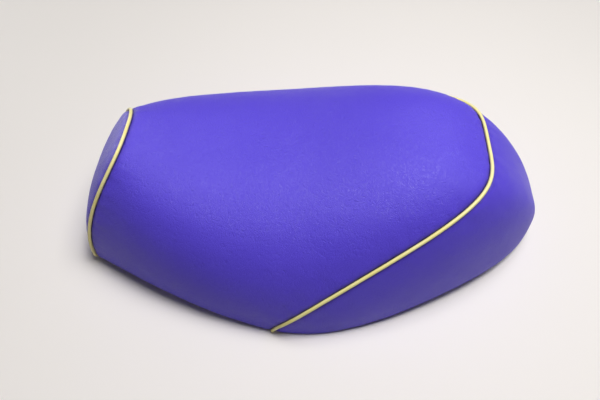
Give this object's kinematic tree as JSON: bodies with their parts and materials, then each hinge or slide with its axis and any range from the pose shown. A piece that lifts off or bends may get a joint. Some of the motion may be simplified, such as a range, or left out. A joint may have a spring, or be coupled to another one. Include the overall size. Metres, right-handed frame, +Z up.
{
  "type": "scooter seat",
  "caption": "Dual scooter seat with a piped three-panel vinyl cover over foam on a moulded pan, with a front hinge and a rear striker.",
  "frame": {"origin": "under the middle of the seat, in the plane that the bumpers, the hinge leaf and the striker rest on", "axes": "+X to the tail of the seat, +Y to the vehicle's right, +Z up; the hinge axis lies along Y"},
  "size_m": [0.5698, 0.3468, 0.1731],
  "materials": {
    "vinyl": "satin grained vinyl, blue-violet",
    "piping_vinyl": "satin vinyl, pale yellow",
    "foam": "open-cell polyurethane foam, matte",
    "pan_plastic": "black moulded polypropylene, satin",
    "staple_wire": "zinc plated wire",
    "pressed_steel": "black electrocoat, satin",
    "bright_steel": "bright zinc plate",
    "spring_steel": "dark spring steel",
    "zinc_steel": "zinc plate, faintly yellow",
    "nylon": "natural nylon",
    "rubber": "black moulded rubber, matte"
  },
  "bodies": {
    "vehicle_side": {"hinge_leaf": "pressed_steel", "hinge_pin": "bright_steel", "pin_clip": "spring_steel"},
    "seat": {"seat_pan": "pan_plastic", "foam_bun": "foam", "front_panel": "vinyl", "saddle_panel": "vinyl", "rear_panel": "vinyl", "front_piping": "piping_vinyl", "rear_piping": "piping_vinyl", "cover_staples": "staple_wire", "hinge_bracket": "pressed_steel", "hinge_bushes": "nylon", "backing_plate": "zinc_steel", "bracket_bolts": "zinc_steel", "bracket_nuts": "zinc_steel", "striker_hoop": "bright_steel", "striker_plate": "pressed_steel", "striker_washers": "zinc_steel", "striker_bolts": "zinc_steel", "striker_nuts": "zinc_steel", "front_bumpers": "rubber", "side_bumpers": "rubber", "rear_bumpers": "rubber", "breather_plugs": "rubber"}
  },
  "joints": [
    {"name": "seat_hinge", "type": "hinge", "parent": "vehicle_side", "child": "seat", "pos_m": [-0.225, 0, 0.014], "axis": [0, -1, 0], "range_deg": [0, 80]}
  ]
}
